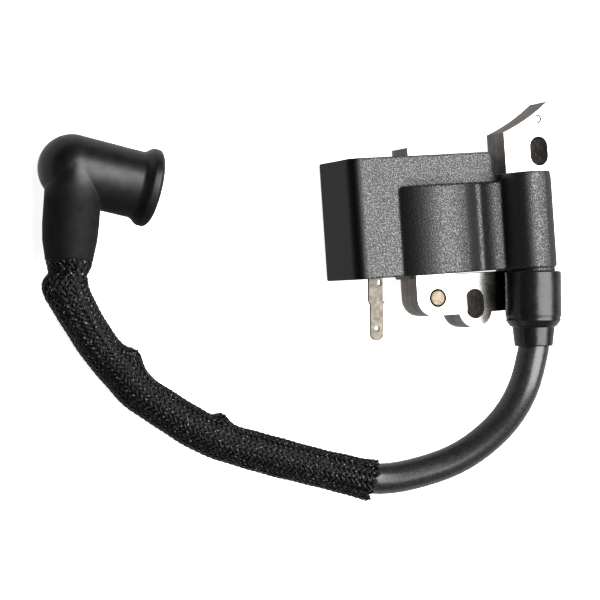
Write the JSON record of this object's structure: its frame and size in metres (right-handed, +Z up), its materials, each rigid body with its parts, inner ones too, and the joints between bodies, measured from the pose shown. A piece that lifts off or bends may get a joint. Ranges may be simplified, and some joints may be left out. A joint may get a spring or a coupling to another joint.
{
  "type": "ignition coil",
  "caption": "Small-engine ignition coil: laminated U core, potted coil case with high-tension tower, lead in a braided sleeve, elbow spark plug boot.",
  "frame": {"origin": "middle of the module's footprint on the table; the lead, sleeve and boot lie to the left of it", "axes": "+Z up out of the table through the core's front face, +Y along the core's legs towards the flywheel, +X from the coil leg to the tower leg"},
  "size_m": [0.1216, 0.0878, 0.0278],
  "materials": {
    "case_nylon": "spark-textured glass-filled nylon",
    "resin": "poured black epoxy",
    "core_steel": "bright plated sheet",
    "copper": "copper, staked",
    "enamel_wire": "enamelled copper wire",
    "bobbin_plastic": "moulded",
    "board": "glass-fibre board",
    "component_epoxy": "moulded epoxy",
    "capacitor_case": "dipped film capacitor",
    "tinned": "tin plate",
    "contact_brass": "turned",
    "rubber": "satin",
    "lead_jacket": "smooth silicone",
    "braid": "braided black glass yarn",
    "spring_steel": "drawn wire"
  },
  "bodies": {
    "module": {"case_shell": "case_nylon", "potting_resin": "resin", "lamination_stack": "core_steel", "ground_rivet": "copper", "primary_bobbin": "bobbin_plastic", "primary_winding": "enamel_wire", "primary_lead_wire": "enamel_wire", "secondary_bobbin": "bobbin_plastic", "secondary_winding_1": "enamel_wire", "secondary_winding_2": "enamel_wire", "secondary_winding_3": "enamel_wire", "secondary_winding_4": "enamel_wire", "ht_link_wire": "copper", "ht_contact_spike": "contact_brass", "circuit_board": "board", "power_transistor": "component_epoxy", "control_chip": "component_epoxy", "capacitor": "capacitor_case", "resistor_1": "bobbin_plastic", "resistor_2": "bobbin_plastic", "diode": "component_epoxy", "kill_terminal": "tinned", "ht_gland": "rubber", "ht_lead": "lead_jacket", "braided_sleeve": "braid"},
    "boot": {"spark_plug_boot": "rubber", "plug_terminal_spring": "spring_steel", "lead_contact_pin": "contact_brass"}
  },
  "joints": [
    {"name": "boot_swivel", "type": "hinge", "parent": "module", "child": "boot", "pos_m": [-0.0896, -0.0019, 0.0093], "axis": [-0.1291, -0.9884, 0.0795], "continuous": true}
  ]
}
